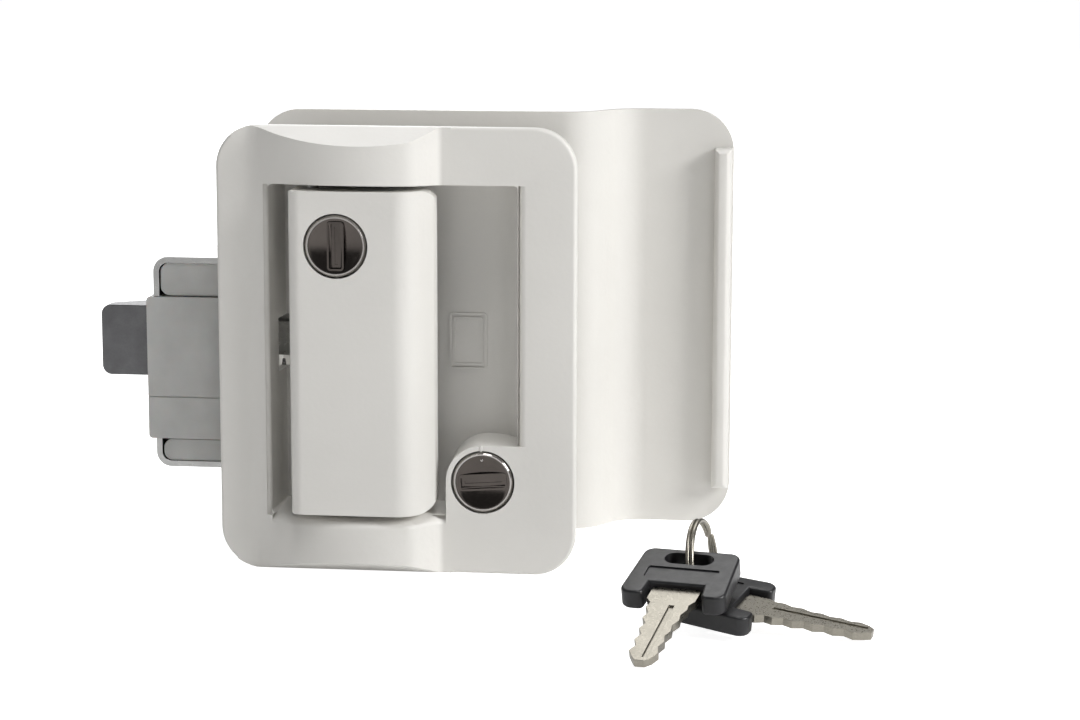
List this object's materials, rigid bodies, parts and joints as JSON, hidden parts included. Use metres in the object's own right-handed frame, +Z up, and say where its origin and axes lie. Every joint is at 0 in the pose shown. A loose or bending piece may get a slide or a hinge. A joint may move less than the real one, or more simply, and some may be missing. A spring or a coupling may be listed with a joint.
{
  "type": "entry door lock set",
  "caption": "Flush entry-door lock set: outside pull paddle and deadbolt with key cylinders, edge latch, inside lever panel with thumb turn, and keys on a split ring.",
  "frame": {"origin": "centre of the outside flange's mounting face", "axes": "+X to the right seen from outside, +Y into the room along the door's thickness, +Z up"},
  "size_m": [0.2103, 0.1602, 0.1186],
  "materials": {
    "white_paint": "satin white powder coat",
    "nylon": "moulded, natural",
    "black_plastic": "fine moulded grain",
    "chrome": "polished",
    "dark_chrome": "polished, dished",
    "nickel": "nickel plated, cut edges",
    "zinc_steel": "zinc plated",
    "spring_steel": "drawn wire",
    "sintered_steel": "sintered, dark"
  },
  "bodies": {
    "lock_frame": {"exterior_housing": "white_paint", "paddle_hinge_pins": "zinc_steel", "bolt_lock_barrel": "chrome", "bolt_lock_clip": "spring_steel", "latch_case": "zinc_steel", "latch_case_screws": "zinc_steel", "latch_guide": "nylon", "latch_cover_upper": "nylon", "latch_cover_lower": "nylon", "latch_spring": "spring_steel", "interior_base": "white_paint", "mounting_screws": "zinc_steel", "handle_hinge_pin": "zinc_steel", "handle_return_spring": "spring_steel", "paddle_return_spring": "spring_steel"},
    "outside_paddle": {"exterior_paddle": "white_paint", "paddle_arm": "zinc_steel", "paddle_arm_rivets": "zinc_steel", "paddle_lock_barrel": "chrome", "paddle_lock_clip": "spring_steel"},
    "paddle_plug": {"paddle_lock_plug": "dark_chrome", "paddle_lock_shutter": "dark_chrome", "paddle_lock_cam": "zinc_steel", "paddle_lock_cam_screw": "zinc_steel"},
    "bolt_plug": {"bolt_lock_plug": "dark_chrome", "bolt_lock_shutter": "dark_chrome", "bolt_lock_tailpiece": "zinc_steel"},
    "thumb_and_cam": {"deadbolt_cam": "zinc_steel", "thumb_spindle": "zinc_steel", "thumb_turn": "white_paint"},
    "deadbolt": {"deadbolt_bar": "sintered_steel"},
    "retractor": {"latch_retractor": "zinc_steel"},
    "latch": {"latch_bolt": "sintered_steel", "latch_tail": "zinc_steel"},
    "inside_handle": {"interior_panel": "white_paint", "handle_arm": "zinc_steel"},
    "ring": {"key_ring": "chrome"},
    "key_a": {"key_a_bow": "black_plastic", "key_a_blade": "nickel"},
    "key_b": {"key_b_bow": "black_plastic", "key_b_blade": "nickel"}
  },
  "joints": [
    {"name": "paddle_swing", "type": "hinge", "parent": "lock_frame", "child": "outside_paddle", "pos_m": [-0.0215, -0.004, 0], "axis": [0, 0, -1], "range_deg": [0, 40], "stiffness_Nm_per_rad": 0.15, "springref_deg": -34.38, "deforming": ["paddle_return_spring"]},
    {"name": "handle_swing", "type": "hinge", "parent": "lock_frame", "child": "inside_handle", "pos_m": [-0.038, 0.0483, 0], "axis": [0, 0, 1], "range_deg": [0, 32], "stiffness_Nm_per_rad": 0.2, "springref_deg": -34.38, "deforming": ["handle_return_spring"]},
    {"name": "retractor_slide", "type": "slide", "parent": "lock_frame", "child": "retractor", "axis": [1, 0, 0], "range_m": [0, 0.015]},
    {"name": "latch_slide", "type": "slide", "parent": "retractor", "child": "latch", "axis": [1, 0, 0], "range_m": [0, 0.016], "deforming": ["latch_spring"]},
    {"name": "paddle_lock_turn", "type": "hinge", "parent": "outside_paddle", "child": "paddle_plug", "pos_m": [-0.014, -0.0113, 0.029], "axis": [0, -1, 0], "range_deg": [0, 90]},
    {"name": "bolt_lock_turn", "type": "hinge", "parent": "lock_frame", "child": "bolt_plug", "pos_m": [0.023, -0.0013, -0.0345], "axis": [0, -1, 0], "range_deg": [0, 90]},
    {"name": "thumb_turn_turn", "type": "hinge", "parent": "lock_frame", "child": "thumb_and_cam", "pos_m": [0.023, 0.03, -0.0345], "axis": [0, -1, 0], "range_deg": [0, 90]},
    {"name": "deadbolt_slide", "type": "slide", "parent": "lock_frame", "child": "deadbolt", "axis": [-1, 0, 0], "range_m": [0, 0.01275]},
    {"name": "key_set_lift", "type": "slide", "parent": "lock_frame", "child": "ring", "axis": [0, 0, 1], "range_m": [0, 0.06]},
    {"name": "key_a_swing", "type": "hinge", "parent": "ring", "child": "key_a", "pos_m": [0.0807, -0.04827, -0.04471], "axis": [0, 0, 1], "range_deg": [-6, 4]},
    {"name": "key_b_swing", "type": "hinge", "parent": "ring", "child": "key_b", "pos_m": [0.08188, -0.04761, -0.05205], "axis": [0, 0, 1], "range_deg": [-4, 6]}
  ],
  "couplings": [
    {"joint": "latch_slide", "follows": "paddle_swing", "m_per_rad": 0.022916},
    {"joint": "retractor_slide", "follows": "handle_swing", "m_per_rad": 0.026855},
    {"joint": "thumb_turn_turn", "follows": "deadbolt_slide", "rad_per_m": 123.2},
    {"joint": "bolt_lock_turn", "follows": "deadbolt_slide", "rad_per_m": 123.2}
  ]
}
